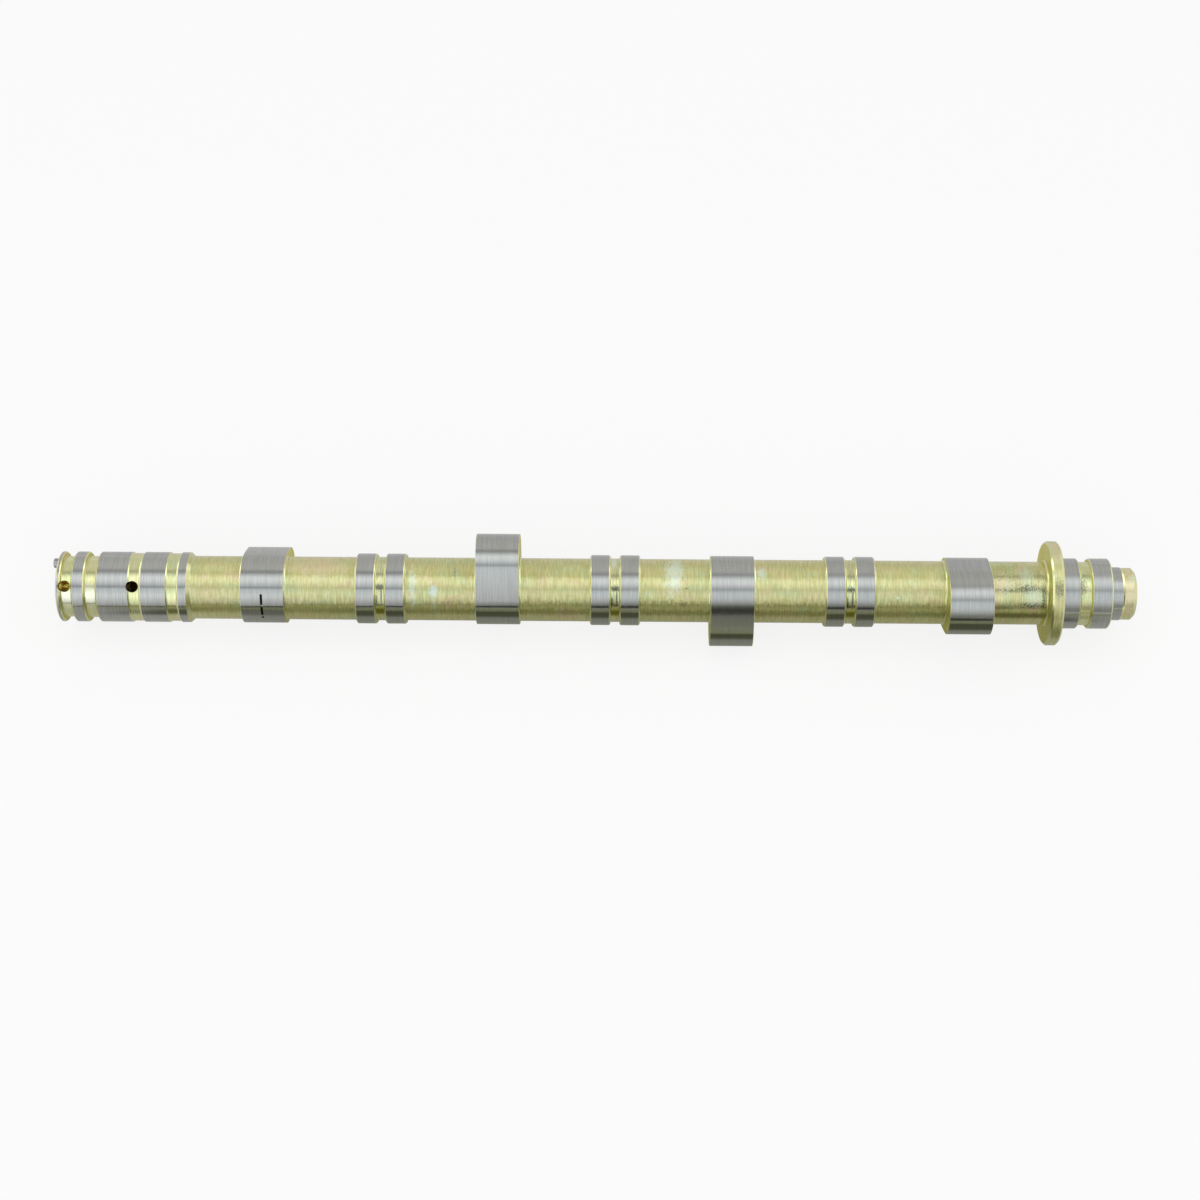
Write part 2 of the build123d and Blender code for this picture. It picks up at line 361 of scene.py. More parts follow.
# The plating's tint drifts like a thin film's. Each stop is a place on the ramp and a colour.
platingLook = {
    "film": [(0.30, (0.85, 0.62, 0.40)), (0.41, (0.80, 0.71, 0.32)), (0.50, (0.765, 0.735, 0.29)),
             (0.60, (0.66, 0.735, 0.31)), (0.70, (0.66, 0.77, 0.48))],
    "even": (0.75, 0.72, 0.29, 1),
    "deep": (0.62, 0.56, 0.12, 1),
    # the polished crests of the lines are paler, the rough troughs deeper in colour
    "crest": (0.93, 0.93, 0.84, 1),
    "crestShare": 0.1,
    "trough": (0.97, 0.96, 0.87, 1),
    "filmIndex": 2.0,
    "whitish": (0.87, 0.97, 0.81, 1),
    "bluish": (0.80, 0.95, 0.90, 1),
    "mint": (0.74, 0.90, 0.66, 1),
    "pinkish": (0.92, 0.78, 0.50, 1),
    # clear paints a highlight: the near-white glare low in the first two drive-end grooves
    "clear": (0.96, 0.97, 0.84, 1),
    # ochre paints a reflection low in each oil groove
    "ochre": (0.66, 0.60, 0.06, 1),
    # dark is the colour of dark stains and of the painted reflections in the oil grooves
    "dark": (0.07, 0.08, 0.03, 1),
    "edgeTint": (0.98, 0.95, 0.76, 1),
    "shoulderTint": (0.90, 0.87, 0.60, 1),
    "lineWidth": 0.47 * mm,
    "around": 2.4,
    "seed": 11.0,
    "crestRange": (0.43, 0.58),
    "lineRange": (0.25, 0.75),
    "lineGain": 0.4,
    "broadRange": (0.3, 0.7),
    "broadShare": 0.5,
    "stainRoughness": 0.45,
    "smoothStainsAndPaintedLight": ("dark", "clear", "ochre"),
    "deepPatches": {"Length": 14 * mm, "Height": 9 * mm, "Seed": 26.0, "Low": 0.5, "High": 0.75},
    "deepShare": 0.35,
    "cloudLength": 11.0 * mm,
    "cloudHeight": 6.0 * mm,
    # a banded tint's length and height, as shares of the cloudy one's
    "bandLength": 0.22,
    "bandHeight": 3.0,
}

# where it was turned smooth the plating is paler and clearer
brightLook = {
    **platingLook,
    "film": [(0.30, (0.87, 0.72, 0.50)), (0.41, (0.84, 0.79, 0.43)), (0.50, (0.80, 0.81, 0.40)),
             (0.60, (0.70, 0.80, 0.42)), (0.70, (0.70, 0.83, 0.58))],
    "even": (0.80, 0.81, 0.40, 1),
}

# A spot's numbers are in mm and degrees: size is (half length, half height), grain how fine its ragged
# edge is, radius how far out from the axis its middle lies. Most spots are stains, some are painted
# highlights and painted reflections.
def stainAndPaintedLight(kind, x, angle, size, ragged, grain, strength, radius=12.7):
    return kind, x, angle, radius, *size, ragged, grain, strength


shaftStains = [
    stainAndPaintedLight("whitish", x=247.0, angle=82, size=(4.9, 11.5), ragged=1.0, grain=2.4, strength=0.8),
    stainAndPaintedLight("whitish", x=281.8, angle=82, size=(2.4, 3.4), ragged=1.0, grain=1.6, strength=0.8),
    stainAndPaintedLight("whitish", x=142.6, angle=112, size=(2.0, 10.5), ragged=1.2, grain=2.0, strength=0.6),
    stainAndPaintedLight("bluish", x=150.9, angle=121, size=(2.2, 2.9), ragged=0.9, grain=1.6, strength=0.85),
    stainAndPaintedLight("whitish", x=151.2, angle=142, size=(1.4, 6.5), ragged=1.2, grain=1.6, strength=0.4),
    stainAndPaintedLight("whitish", x=336.2, angle=126.5, size=(0.7, 0.7), ragged=0.4, grain=1.0, strength=0.95),
    stainAndPaintedLight("pinkish", x=105.0, angle=70, size=(16.0, 9.0), ragged=1.2, grain=6.0, strength=0.45),
    stainAndPaintedLight("pinkish", x=399.0, angle=62, size=(6.0, 12.0), ragged=1.0, grain=3.0, strength=0.6, radius=21.0),
    stainAndPaintedLight("dark", x=399.0, angle=112, size=(4.0, 3.4), ragged=3.0, grain=0.7, strength=0.6, radius=21.0),
    stainAndPaintedLight("dark", x=252.0, angle=112, size=(1.1, 0.5), ragged=0.8, grain=0.6, strength=0.6),
    stainAndPaintedLight("dark", x=250.6, angle=141, size=(1.7, 1.8), ragged=1.8, grain=0.8, strength=0.4),
    stainAndPaintedLight("dark", x=159.5, angle=82, size=(0.9, 3.4), ragged=1.8, grain=0.8, strength=0.35),
]
turnedStainsAndPaintedHighlights = [
    # painted highlights: the two clear spots stand for the near-white glare in the first two grooves
    stainAndPaintedLight("clear", x=4.0, angle=137, size=(3.0, 6.5), ragged=0.4, grain=3.0, strength=0.75, radius=12.25),
    stainAndPaintedLight("clear", x=13.6, angle=137, size=(3.0, 6.5), ragged=0.4, grain=3.0, strength=0.75, radius=12.4),
    stainAndPaintedLight("dark", x=409.6, angle=104, size=(1.8, 4.4), ragged=2.6, grain=0.7, strength=0.6, radius=12.8),
]
middleGrooves = {"places": (129.5, 223.5, 317.5), "radius": 12.85}
grooveStainsAndPaintedReflections = [
    stainAndPaintedLight("whitish", x=223.0, angle=57, size=(1.7, 4.9), ragged=0.7, grain=1.5, strength=0.8, radius=12.85),
]
# painted reflections, alike in every oil groove: dark seams and an ochre patch stand for what the groove floor
# reflects
for x in middleGrooves["places"]:
    out = middleGrooves["radius"]
    grooveStainsAndPaintedReflections += [
        stainAndPaintedLight("dark", x=x, angle=113, size=(3.0, 1.5), ragged=1.6, grain=0.6, strength=0.9, radius=out),
        stainAndPaintedLight("dark", x=x + 0.7, angle=129, size=(0.5, 4.6), ragged=0.8, grain=0.5, strength=0.9, radius=out),
        stainAndPaintedLight("dark", x=x - 1.5, angle=137, size=(0.9, 3.6), ragged=0.9, grain=0.6, strength=0.95, radius=out),
        stainAndPaintedLight("ochre", x=x, angle=161, size=(4.0, 3.2), ragged=0.3, grain=2.0, strength=0.95, radius=out),
    ]
neckStains = [
    stainAndPaintedLight("dark", x=388.5, angle=108, size=(6.0, 1.9), ragged=3.2, grain=0.55, strength=0.85),
    stainAndPaintedLight("dark", x=394.2, angle=122, size=(1.0, 7.0), ragged=1.6, grain=0.6, strength=0.9),
    stainAndPaintedLight("dark", x=390.0, angle=138, size=(5.6, 1.2), ragged=3.2, grain=0.5, strength=0.9),
    stainAndPaintedLight("dark", x=378.0, angle=112, size=(7.0, 1.0), ragged=3.0, grain=0.6, strength=0.5),
    stainAndPaintedLight("dark", x=380.0, angle=99, size=(15.0, 3.4), ragged=2.4, grain=0.5, strength=0.32),
    stainAndPaintedLight("mint", x=390.0, angle=124, size=(4.6, 4.0), ragged=1.8, grain=0.8, strength=0.7),
    stainAndPaintedLight("mint", x=387.6, angle=82, size=(4.0, 5.4), ragged=1.2, grain=1.6, strength=0.5),
    stainAndPaintedLight("pinkish", x=378.0, angle=100, size=(5.0, 4.4), ragged=2.0, grain=1.4, strength=0.6),
    # on the stub
    stainAndPaintedLight("pinkish", x=429.0, angle=100, size=(5, 16), ragged=1.0, grain=2.4, strength=0.85, radius=10.45),
    stainAndPaintedLight("mint", x=430.4, angle=80, size=(2.2, 1.8), ragged=1.2, grain=0.9, strength=0.75, radius=10.45),
]


def colourRamp(tree, value, stops):
    # each stop is a place on the ramp and a colour with its alpha
    made = addNode(tree, "ShaderNodeValToRGB")
    ramp = made.color_ramp
    while len(ramp.elements) < len(stops):
        ramp.elements.new(1.0)
    for element, (position, colour) in zip(ramp.elements, stops):
        element.position = position
        element.color = colour
    feed(tree, made.inputs["Fac"], value)
    return made.outputs["Color"]


def filmTint(tree, look, banded):
    # cloudy tint, or bands round the shaft where it was turned smooth
    sideY, sideZ, radius, feedPath = lathePlace(tree)[1:]
    length = look["cloudLength"] * (look["bandLength"] if banded else 1.0)
    height = look["cloudHeight"] * (look["bandHeight"] if banded else 1.0)
    across = [calc(tree, "DIVIDE", calc(tree, "MULTIPLY", side, radius), height) for side in (sideY, sideZ)]
    place = combine(tree, calc(tree, "DIVIDE", feedPath, length), *across)
    stops = [(position, [*colour, 1.0]) for position, colour in look["film"]]
    return colourRamp(tree, noise(tree, place, **grains["film"]), stops)


def addStainAndPaintedLight(tree, look, spot, colour, shine):
    kind, x, angle, radius, halfLength, halfHeight, ragged, grain, strength = spot
    values = {
        "Centre": outward(angle) * radius * mm + shaftAxis * x * mm,
        "Length": halfLength * mm,
        "Height": halfHeight * mm,
        "Ragged": ragged,
        "Grain": grain * mm,
    }
    mask = calc(tree, "MULTIPLY", placeGroup(tree, raggedSpot, values)["Mask"], strength)
    colour = mixColour(tree, mask, colour, look[kind])
    if kind not in look["smoothStainsAndPaintedLight"]:
        shine = mixValue(tree, mask, shine, look["stainRoughness"])
    return colour, shine


def platingFinish(name, look, metal, roughness, film, wave, tint, streaks, brushed, stainsAndPaintedLight=(), banded=False):
    finish, tree, sockets = newFinish(name, metal)
    if film:
        sockets["Coat Weight"].default_value = 1.0
        sockets["Coat IOR"].default_value = look["filmIndex"]
        sockets["Coat Roughness"].default_value = film
    marks = placeLines(tree, look, wave)
    colour = mixColour(tree, tint, look["even"], filmTint(tree, look, banded))
    mask = placeGroup(tree, patches, look["deepPatches"])["Mask"]
    colour = mixColour(tree, calc(tree, "MULTIPLY", mask, look["deepShare"]), colour, look["deep"])
    crest = fade(tree, marks["Lines"], *look["crestRange"])
    pale = mixColour(tree, look["crestShare"], colour, look["crest"])
    full = mixColour(tree, 1.0, colour, look["trough"], blend="MULTIPLY")
    colour = mixColour(tree, crest, full, pale)
    shade = fade(tree, marks["Lines"], *look["lineRange"], 1.0 - streaks, 1.0 + streaks * look["lineGain"])
    broadDark = 1.0 - streaks * look["broadShare"]
    broad = fade(tree, marks["Broad Lines"], *look["broadRange"], broadDark, 1.0)
    shade = calc(tree, "MULTIPLY", shade, broad)
    colour = mixColour(tree, 1.0, colour, combine(tree, shade, shade, shade), blend="MULTIPLY")
    shine = mixValue(tree, crest, roughness[1], roughness[0])
    # spots: stains, painted highlights and painted reflections
    for spot in stainsAndPaintedLight:
        colour, shine = addStainAndPaintedLight(tree, look, spot, colour, shine)
    feed(tree, sockets["Base Color"], colour)
    feed(tree, sockets["Roughness"], shine)
    feed(tree, sockets["Normal"], marks["Normal"])
    sockets["Specular Tint"].default_value = look["edgeTint"] if film else look["shoulderTint"]
    brushAlong(tree, sockets, brushed)
    return finish


# Each roughness is of the crests and of the troughs of the lines; film is the coat's own roughness.
platings = {
    "plated": {
        "name": "platedShaft", "look": platingLook, "metal": 0.9, "roughness": (0.40, 0.47), "film": 0.16,
        "wave": 0.62, "tint": 0.6, "streaks": 0.1, "brushed": 0.88, "stainsAndPaintedLight": shaftStains,
    },
    "neck": {
        "name": "platedNeck", "look": platingLook, "metal": 1.0, "roughness": (0.22, 0.28), "film": 0.1,
        "wave": 0.2, "tint": 0.9, "streaks": 0.2, "brushed": 0.5, "stainsAndPaintedLight": neckStains, "banded": True,
    },
    "bright": {
        "name": "platedTurned", "look": brightLook, "metal": 1.0, "roughness": (0.20, 0.26), "film": 0.1,
        "wave": 0.12, "tint": 0.7, "streaks": 0.05, "brushed": 0.4, "stainsAndPaintedLight": turnedStainsAndPaintedHighlights,
    },
    "groove": {
        "name": "platedGroove", "look": brightLook, "metal": 1.0, "roughness": (0.18, 0.26), "film": 0.1,
        "wave": 0.14, "tint": 0.7, "streaks": 0.22, "brushed": 0.4, "stainsAndPaintedLight": grooveStainsAndPaintedReflections,
    },
    "shoulder": {
        "name": "platedShoulder", "look": platingLook, "metal": 1.0, "roughness": (0.38, 0.44), "film": 0.0,
        "wave": 0.1, "tint": 0.6, "streaks": 0.08, "brushed": 0.2,
    },
}

drillings = {
    "drilled": {
        "name": "drilledTip", "roughness": 0.24,
        "first": (0.40, 0.30, 0.06, 1), "second": (0.66, 0.55, 0.16, 1),
    },
    # painted shade: near-black walls for the oil holes, which are dark deep inside
    "dark": {
        "name": "drilledWallPaintedShade", "roughness": 0.35,
        "first": (0.05, 0.045, 0.02, 1), "second": (0.12, 0.10, 0.03, 1),
    },
}
drillPatches = {"Length": 2 * mm, "Height": 2 * mm, "Seed": 5.0, "Low": 0.35, "High": 0.7}


def drilledFinish(name, first, second, roughness):
    finish, tree, sockets = newFinish(name)
    mask = placeGroup(tree, patches, drillPatches)["Mask"]
    feed(tree, sockets["Base Color"], mixColour(tree, mask, first, second))
    sockets["Roughness"].default_value = roughness
    return finish


# the order of the material slots
finishSlots = ["ground", "plated", "bright", "drilled", "neck", "groove", "dark", "shoulder"]


turned = {
    "bearingPitch": 94.0 * mm,
    "firstBearing": 35.5 * mm,
    "bearings": 5,
    "journalRadius": 14.15 * mm,
    "journalWidth": 20.0 * mm,
    "oilGrooveWidth": 3.7 * mm,
    "oilGrooveDepth": 1.3 * mm,
    "ringEdge": 0.5 * mm,
    "shaftRadius": 12.7 * mm,
    # drive end, from the face inwards
    "landWidths": [1.9 * mm, 5.25 * mm, 13.45 * mm, 11.0 * mm],
    # (width, depth) of the groove after each land
    "landGrooves": [
        (4.25 * mm, 1.9 * mm), (4.5 * mm, 1.75 * mm), (4.1 * mm, 0.45 * mm), (4.0 * mm, 0.45 * mm),
    ],
    "innerLandWidth": 5.2 * mm,
    "innerLandSlope": 1.5 * mm,
    # thrust flange and what stands behind it
    "flangeRadius": 21.0 * mm,
    "flangeWidth": 5.0 * mm,
    "flangeEdge": 0.8 * mm,
    "flangeToBearing": 10.2 * mm,
    "rearRing": 7.8 * mm,
    "rearGroove": (4.25 * mm, 1.35 * mm),
    "rearLand": 8.4 * mm,
    "sensorRing": (5.3 * mm, 10.7 * mm, 0.8 * mm),  # length, radius, chamfer
    "stub": (4.95 * mm, 10.45 * mm, 1.3 * mm),
    # bore on the axis: (length, radius) of each part
    "boltBore": (34.0 * mm, 6.2 * mm),
    "boreMouth": 0.8 * mm,
    "thread": (26.0 * mm, 6.0 * mm),
    "threadPitch": 1.25 * mm,
    "threadDepth": 0.65 * mm,
    "threadSunk": 0.03 * mm,
    "threadSteps": 36,
    # half widths of the ridge, as shares of the pitch
    "ridgeFoot": 0.47,
    "ridgeTip": 1 / 16,
    "galleryRadius": 4.0 * mm,
    "galleryWall": 16.0 * mm,
    "drillTip": 118.0,
    "centreMouth": 3.0 * mm,
    "centrePilot": (5.5 * mm, 1.25 * mm),
    "centreCone": 60.0,
    # how finely it is made
    "aroundSteps": 160,
    "softEdge": 0.07 * mm,
    "rootFillet": 0.8 * mm,
    "grooveFillet": 0.28 * mm,
    "sharpRoot": 0.05 * mm,  # added to the fillet where the corner above it has no chamfer
    "softAngle": 12.0,  # corners flatter than this need no soft edge
    # how near a face's middle must be to a step's radius to get its finish
    "stepReach": 0.03 * mm,
    "boreReach": 0.05 * mm,
    "drilledFrom": 12 * mm,
}

bevelSteps = {"root": 5, "groove": 3, "soft": 2, "lobe": 3, "pin": 4}

camLobe = {
    "width": 17.4 * mm,
    "baseRadius": 14.1 * mm,
    "lift": 9.0 * mm,
    "noseRadius": 12.8 * mm,
    "flankRadius": 90.0 * mm,
    "edge": 0.18 * mm,
    "firstAngle": -42.0,
    "firingOrder": [1, 3, 4, 2],
    "arcStep": 2.6,
    "flankFineness": 2.0,
    # inside the lobe the body stands a little proud, so that the root fillet ends in the lobe
    "bodyInside": 0.15 * mm,
    "bodyProud": 0.25 * mm,
}


def bearingAt(number):
    return turned["firstBearing"] + (number - 1) * turned["bearingPitch"]


def lobeAt(number):
    return bearingAt(number) + turned["bearingPitch"] / 2


# A step is (x where it ends, radius, chamfer, finish)
def driveEndSteps():
    steps = []
    x = 0.0
    high = turned["journalRadius"]
    for land, (groove, depth) in zip(turned["landWidths"], turned["landGrooves"]):
        x += land
        steps.append((x, high, turned["ringEdge"], "ground"))
        x += groove
        steps.append((x, high - depth, 0.0, "bright"))
    steps.append((x + turned["innerLandWidth"], high, turned["innerLandSlope"], "ground"))
    return steps


def lobeSteps(number):
    half = camLobe["width"] / 2 - camLobe["bodyInside"]
    middle = lobeAt(number)
    collar = turned["shaftRadius"] + turned["rootFillet"] + camLobe["bodyProud"]
    return [(middle - half, turned["shaftRadius"], 0.0, "plated"), (middle + half, collar, 0.0, "bright")]


def journalSteps(number):
    start = bearingAt(number) - turned["journalWidth"] / 2
    ring = (turned["journalWidth"] - turned["oilGrooveWidth"]) / 2
    high, edge = turned["journalRadius"], turned["ringEdge"]
    return [
        (start, turned["shaftRadius"], 0.0, "plated"),
        (start + ring, high, edge, "ground"),
        (start + ring + turned["oilGrooveWidth"], high - turned["oilGrooveDepth"], 0.0, "groove"),
        (start + turned["journalWidth"], high, edge, "ground"),
    ]


def rearSteps():
    high, edge = turned["journalRadius"], turned["ringEdge"]
    flangeRear = bearingAt(turned["bearings"]) - turned["flangeToBearing"]
    grooveWidth, grooveDepth = turned["rearGroove"]
    ringEnd = flangeRear + turned["rearRing"]
    landEnd = ringEnd + grooveWidth + turned["rearLand"]
    sensorWidth, sensorRadius, sensorSlope = turned["sensorRing"]
    stubLength, stubRadius, stubEdge = turned["stub"]
    return [
        (flangeRear - turned["flangeWidth"], turned["shaftRadius"], 0.0, "neck"),
        (flangeRear, turned["flangeRadius"], turned["flangeEdge"], "plated"),
        (ringEnd, high, edge, "ground"),
        (ringEnd + grooveWidth, high - grooveDepth, 0.0, "bright"),
        (landEnd, high, edge, "ground"),
        (landEnd + sensorWidth, sensorRadius, sensorSlope, "ground"),
        (landEnd + sensorWidth + stubLength, stubRadius, stubEdge, "neck"),
    ]


def allSteps():
    steps = driveEndSteps() + lobeSteps(1)
    for number in range(2, turned["bearings"]):
        steps += journalSteps(number) + lobeSteps(number)
    return steps + rearSteps()


def outerCorners(steps):
    # each corner is (x, radius, fillet); a fillet of 0 gets only a soft edge
    first, last = steps[0], steps[-1]
    corners = [(0.0, first[1] - first[2], 0.0), (first[2], first[1], 0.0)]
    for left, right in zip(steps, steps[1:]):
        x = left[0]
        low, high = sorted((left[1], right[1]))
        # a ring's own chamfer is at its far end, and only the flange has it at both ends
        nearEdge = right[2] if right[1] > turned["journalRadius"] else min(right[2], turned["ringEdge"])
        edge = left[2] if left[1] > right[1] else nearEdge
        drop = min(edge, high - low)
        deepRoot = low == turned["shaftRadius"] and edge in (0.0, turned["flangeEdge"])
        fillet = turned["rootFillet"] if deepRoot else turned["grooveFillet"]
        if edge == 0.0:
            fillet += turned["sharpRoot"]
        slope = [(x - edge, high, 0.0), (x, high - drop, 0.0), (x, low, fillet)]
        if left[1] < right[1]:
            slope = [(x, low, fillet), (x, high - drop, 0.0), (x + edge, high, 0.0)]
        for corner in slope:
            if math.dist(corner[:2], corners[-1][:2]) > tiny:
                corners.append(corner)
            elif corner[2]:
                corners[-1] = corner
    corners += [(last[0] - last[2], last[1], 0.0), (last[0], last[1] - last[2], 0.0)]
    return corners


def coneLength(radius, fullAngle):
    return radius / math.tan(math.radians(fullAngle / 2))


def centreDrillCorners(end):
    mouth = turned["centreMouth"]
    depth, pilot = turned["centrePilot"]
    cone = coneLength(mouth - pilot, turned["centreCone"])
    tip = coneLength(pilot, turned["drillTip"])
    return [
        (end, mouth, 0.0),
        (end - cone, pilot, 0.0),
        (end - depth, pilot, 0.0),
        (end - depth - tip, 0.0, 0.0),
    ]


def boreCorners(end):
    tip = turned["drillTip"]
    boreDepth, boreRadius = turned["boltBore"]
    threadLength, threadRadius = turned["thread"]
    gallery = turned["galleryRadius"]
    galleryEnd = end - turned["galleryWall"]
    threadStart = boreDepth + coneLength(boreRadius - threadRadius, tip)
    threadEnd = boreDepth + threadLength
    return [
        (galleryEnd + coneLength(gallery, tip), 0.0, 0.0),
        (galleryEnd, gallery, 0.0),
        (threadEnd + coneLength(threadRadius - gallery, tip), gallery, 0.0),
        (threadEnd, threadRadius, 0.0),
        (threadStart, threadRadius, 0.0),
        (boreDepth, boreRadius, 0.0),
        (turned["boreMouth"], boreRadius, 0.0),
        (0.0, boreRadius + turned["boreMouth"], 0.0),
    ]


def bevelEdges(bm, edges, offset, segments):
    if edges:
        bmesh.ops.bevel(bm, geom=edges, offset=offset, offset_type="OFFSET", segments=segments, profile=0.5,
                        affect="EDGES", material=-1, clamp_overlap=True)


def spinRound(bm, chain, axis, steps):
    edges = [bm.edges.new(pair) for pair in zip(chain, chain[1:])]
    bmesh.ops.spin(bm, geom=chain + edges, cent=(0, 0, 0), axis=axis, angle=math.tau, steps=steps,
                   use_merge=True)
    bmesh.ops.remove_doubles(bm, verts=bm.verts, dist=tiny)
    bmesh.ops.dissolve_degenerate(bm, edges=bm.edges, dist=tiny)
    bmesh.ops.recalc_face_normals(bm, faces=bm.faces)


def spinCorners(corners, steps, softEdge):
    # revolve the corners about X, fillet the roots, then take the sharpness off every other corner
    bm = bmesh.new()
    spinRound(bm, [bm.verts.new((x, 0.0, radius)) for x, radius, fillet in corners], shaftAxis, steps)
    fillets = {(round(x, 6), round(radius, 6)): fillet for x, radius, fillet in corners}
    for size in sorted({fillet for x, radius, fillet in corners if fillet}):
        rings = [e for e in bm.edges if fillets.get(ringKey(e)) == size]
        kind = "root" if size > turned["rootFillet"] - tiny else "groove"
        bevelEdges(bm, rings, size, bevelSteps[kind])
    plain = [e for e in bm.edges if fillets.get(ringKey(e)) == 0.0]
    sharp = [e for e in plain if e.calc_face_angle(0.0) > math.radians(turned["softAngle"])]
    bevelEdges(bm, sharp, softEdge, bevelSteps["soft"])
    return bm


def ringKey(edge):
    # (x, radius) of an edge that runs round the axis, else nothing
    first, second = (vert.co for vert in edge.verts)
    if abs(first.x - second.x) > tiny:
        return None
    radii = [math.hypot(co.y, co.z) for co in (first, second)]
    if abs(radii[0] - radii[1]) > tiny:
        return None
    return round(first.x, 6), round(radii[0], 6)


def finishNumber(kind):
    return finishSlots.index(kind)


def paintTurned(bm, steps):
    starts = [0.0] + [step[0] for step in steps]
    slopeEnd = driveEndSteps()[-1][0]
    slopeStart = slopeEnd - turned["innerLandSlope"]
    boreWall = turned["boltBore"][1] + turned["boreReach"]
    boreEnd = steps[-1][0] - turned["drilledFrom"]
    for face in bm.faces:
        centre = face.calc_center_median()
        radius = math.hypot(centre.y, centre.z)
        finish = "shoulder" if abs(face.normal.x) > flatShoulder else "bright"
        if finish == "bright" and slopeStart < centre.x < slopeEnd:
            finish = "plated"
        if abs(face.normal.x) < sideFacing:
            for start, (end, high, edge, kind) in zip(starts, steps):
                if start < centre.x < end and abs(radius - high) < turned["stepReach"]:
                    finish = kind
        if radius < boreWall and tiny < centre.x < boreEnd:
            finish = "drilled"
        face.material_index = finishNumber(finish)


def sweepArc(bm, vert, centre, sweep, fineness):
    steps = max(2, round(sweep * fineness / camLobe["arcStep"]))
    angle = math.radians(sweep)
    made = bmesh.ops.spin(bm, geom=[vert], cent=centre, axis=shaftAxis, angle=angle, steps=steps)
    return next(item for item in made["geom_last"] if isinstance(item, bmesh.types.BMVert))


def lobeBody(number):
    # three-arc cam: base circle, a flank on each side, and the nose along +Y, then turned to its place
    base, nose, flank = camLobe["baseRadius"], camLobe["noseRadius"], camLobe["flankRadius"]
    noseCentre = base + camLobe["lift"] - nose
    flankY = ((flank - base) ** 2 - (flank - nose) ** 2 + noseCentre**2) / (2 * noseCentre)
    flankZ = math.sqrt((flank - base) ** 2 - flankY**2)
    baseAngle = math.degrees(math.atan2(flankZ, -flankY))
    noseAngle = math.degrees(math.atan2(flankZ, noseCentre - flankY))
    start = lobeAt(number) - camLobe["width"] / 2
    bm = bmesh.new()
    corner = bm.verts.new(outward(baseAngle) * base + shaftAxis * start)
    fine = camLobe["flankFineness"]
    arcs = [
        ((start, 0, 0), 360 - 2 * baseAngle, 1.0),
        ((start, flankY, flankZ), baseAngle - noseAngle, fine),
        ((start, noseCentre, 0), 2 * noseAngle, 1.0),
        ((start, flankY, -flankZ), baseAngle - noseAngle, fine),
    ]
    for centre, sweep, fineness in arcs:
        corner = sweepArc(bm, corner, centre, sweep, fineness)
    bmesh.ops.remove_doubles(bm, verts=bm.verts, dist=tiny)
    side = bmesh.ops.contextual_create(bm, geom=bm.edges[:])["faces"]
    grown = bmesh.ops.extrude_face_region(bm, geom=side)["geom"]
    moved = [item for item in grown if isinstance(item, bmesh.types.BMVert)]
    bmesh.ops.translate(bm, verts=moved, vec=shaftAxis * camLobe["width"])
    bmesh.ops.recalc_face_normals(bm, faces=bm.faces)
    rims = [e for e in bm.edges if abs(e.verts[0].co.x - e.verts[1].co.x) < tiny]
    bevelEdges(bm, rims, camLobe["edge"], bevelSteps["lobe"])
    turns = camLobe["firingOrder"].index(number) * 360 / len(camLobe["firingOrder"])
    turn = Matrix.Rotation(math.radians(camLobe["firstAngle"] - turns), 3, "X")
    bmesh.ops.rotate(bm, verts=bm.verts, cent=(0, 0, 0), matrix=turn)
    for face in bm.faces:
        facing = abs(face.normal.x)
        finish = "ground" if facing < sideFacing else "shoulder" if facing > flatShoulder else "bright"
        face.material_index = finishNumber(finish)
    return bm


drilling = {
    "crossRadius": 2.3 * mm,
    "crossAngle": 116.0,
    "crossOffset": 0.65 * mm,
    "crossMouth": 0.14 * mm,
    "faceHoleDepth": 3.65 * mm,
    "passageRadius": 1.8 * mm,
    "passagePitch": 9.2 * mm,
    "oilRadius": 1.5 * mm,
    "oilAngle": 26.0,
    "steps": 48,
    # how far the cutters stand out beyond the surface
    "outBeyond": 3 * mm,
    "endBeyond": 1 * mm,
}

dowel = {
    "radius": 2.0 * mm,
    "pitchRadius": 9.3 * mm,
    "angle": 26.0,
    "seat": 6.4 * mm,
    "proud": 3.6 * mm,
    "edge": 0.4 * mm,
    "steps": 48,
    "rimAngle": 60.0,
}


def spunTool(corners, steps, finish):
    # corners are (radius, height) about Z, from the tip to the top, both on the axis
    bm = bmesh.new()
    spinRound(bm, [bm.verts.new((radius, 0.0, height)) for radius, height in corners], (0, 0, 1), steps)
    for face in bm.faces:
        face.material_index = finishNumber(finish)
    return bm


def placeTool(bm, origin, direction):
    turn = direction.to_track_quat("Z", "Y").to_matrix().to_4x4()
    bmesh.ops.transform(bm, verts=bm.verts, matrix=Matrix.Translation(origin) @ turn)
    return bm


def crossDrill(x, angle, radius, bottom, floor=None, finish="dark"):
    # a drill from outside; where floor is given, the edge of its mouth there is broken; by default its walls
    # get the dark finish, the near-black painted shade of a deep hole
    top = turned["journalRadius"] + drilling["outBeyond"]
    corners = [(0.0, bottom - coneLength(radius, turned["drillTip"])), (radius, bottom)]
    if floor:
        mouth = drilling["crossMouth"]
        corners += [(radius, floor - mouth), (radius + mouth, floor), (radius + mouth, top), (0.0, top)]
    else:
        corners += [(radius, top), (0.0, top)]
    return placeTool(spunTool(corners, drilling["steps"], finish), shaftAxis * x, outward(angle))


def endDrill(angle, pitchRadius, radius, depth):
    start = -drilling["endBeyond"]
    corners = [(0.0, start), (radius, start), (radius, depth), (0.0, depth)]
    return placeTool(spunTool(corners, drilling["steps"], "drilled"), outward(angle) * pitchRadius, shaftAxis)


